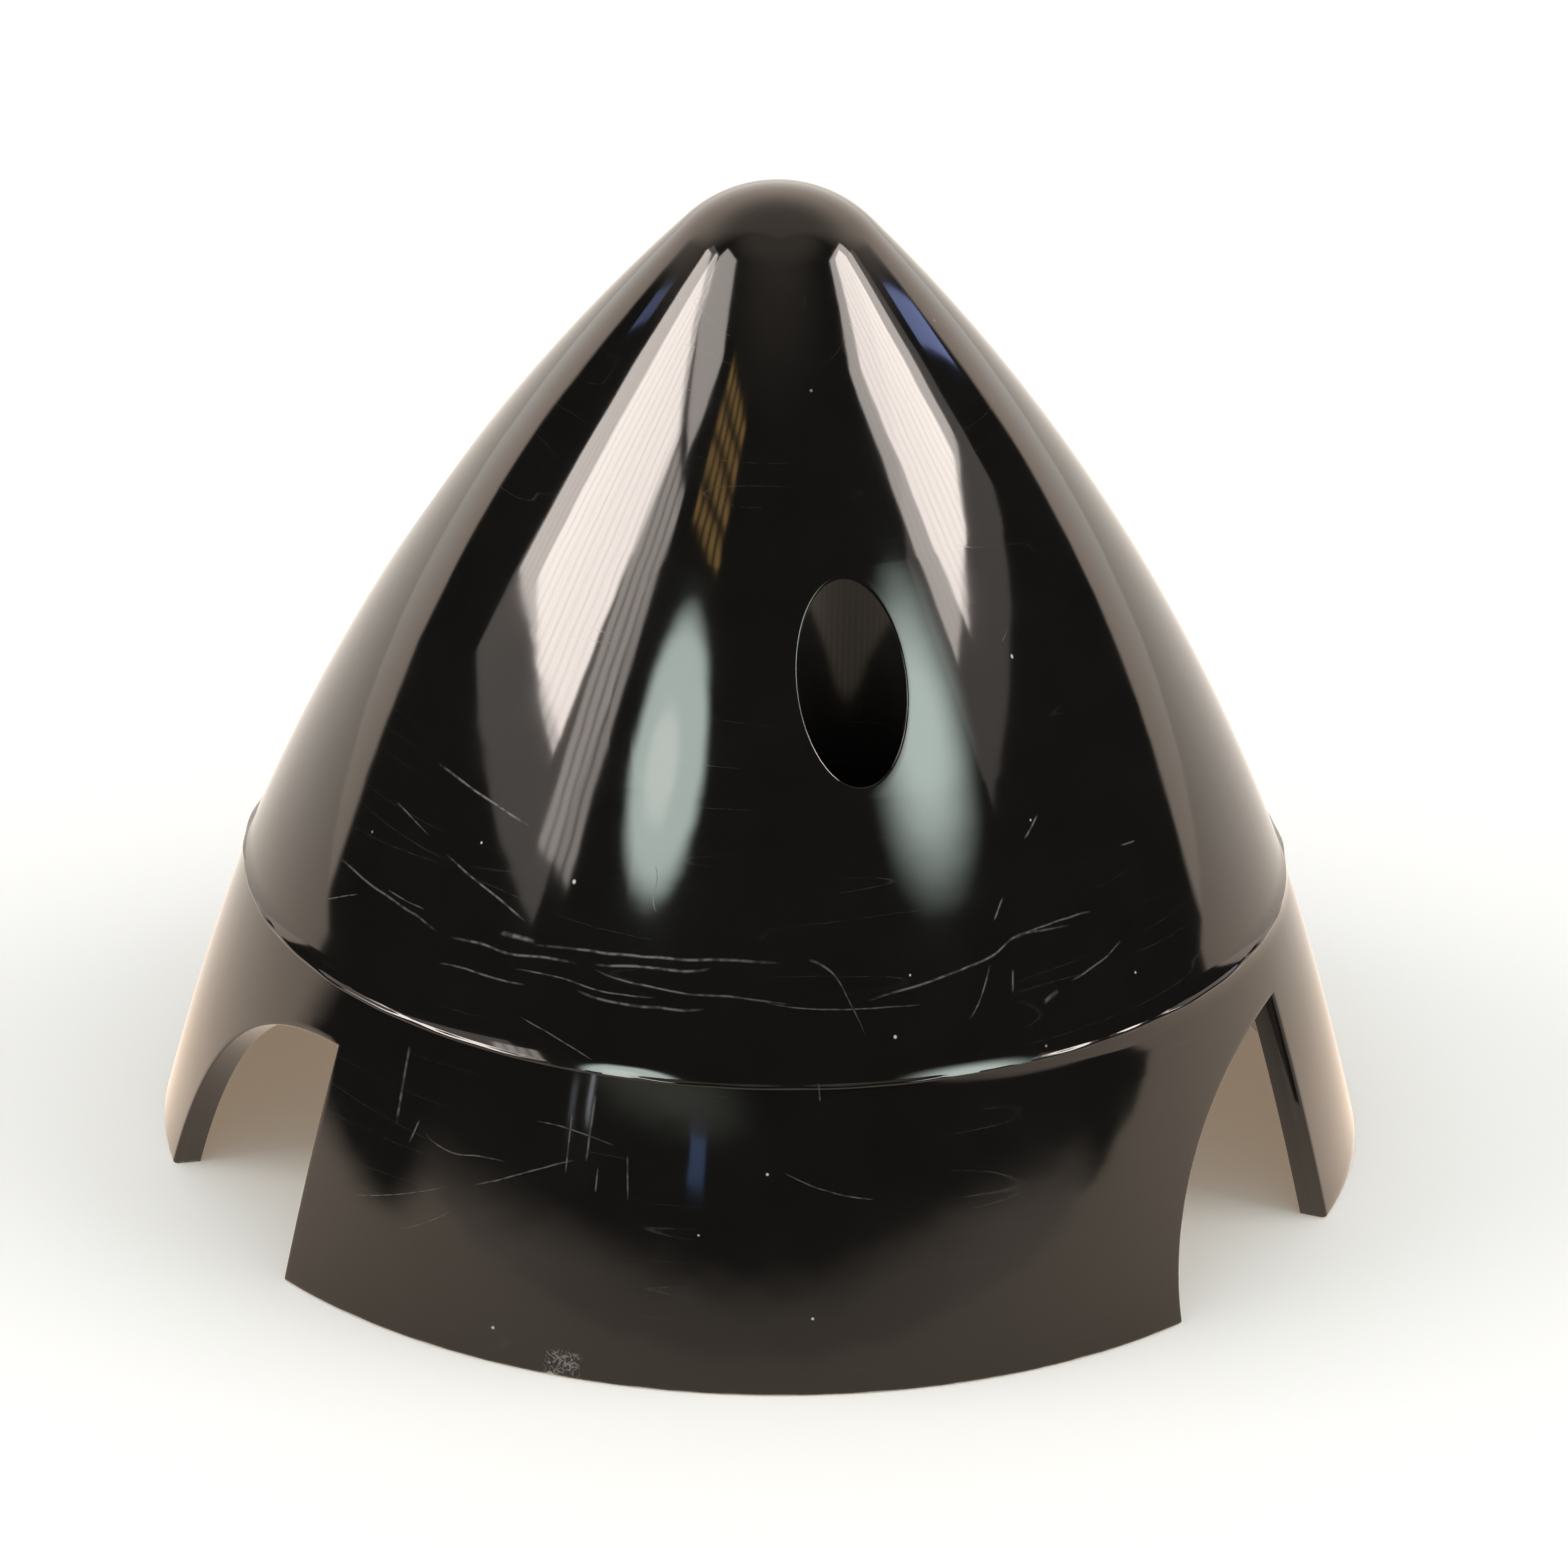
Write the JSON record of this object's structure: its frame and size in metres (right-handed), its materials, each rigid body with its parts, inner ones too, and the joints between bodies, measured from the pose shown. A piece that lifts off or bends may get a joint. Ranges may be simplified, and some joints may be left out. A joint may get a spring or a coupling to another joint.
{
  "type": "propeller spinner",
  "caption": "Pointed hollow nose cone that covers a propeller hub, with arched cut-outs in its skirt for the blades and sunk screw wells.",
  "frame": {"origin": "centre of the rim plane, on the shaft axis", "axes": "+Z along the shaft axis towards the nose; the side of the picture is -Y"},
  "size_m": [0.057, 0.0566, 0.0475],
  "materials": {
    "black_nylon": "glossy, lightly scratched"
  },
  "bodies": {
    "root": {"spinner_cone": "black_nylon"}
  },
  "joints": []
}
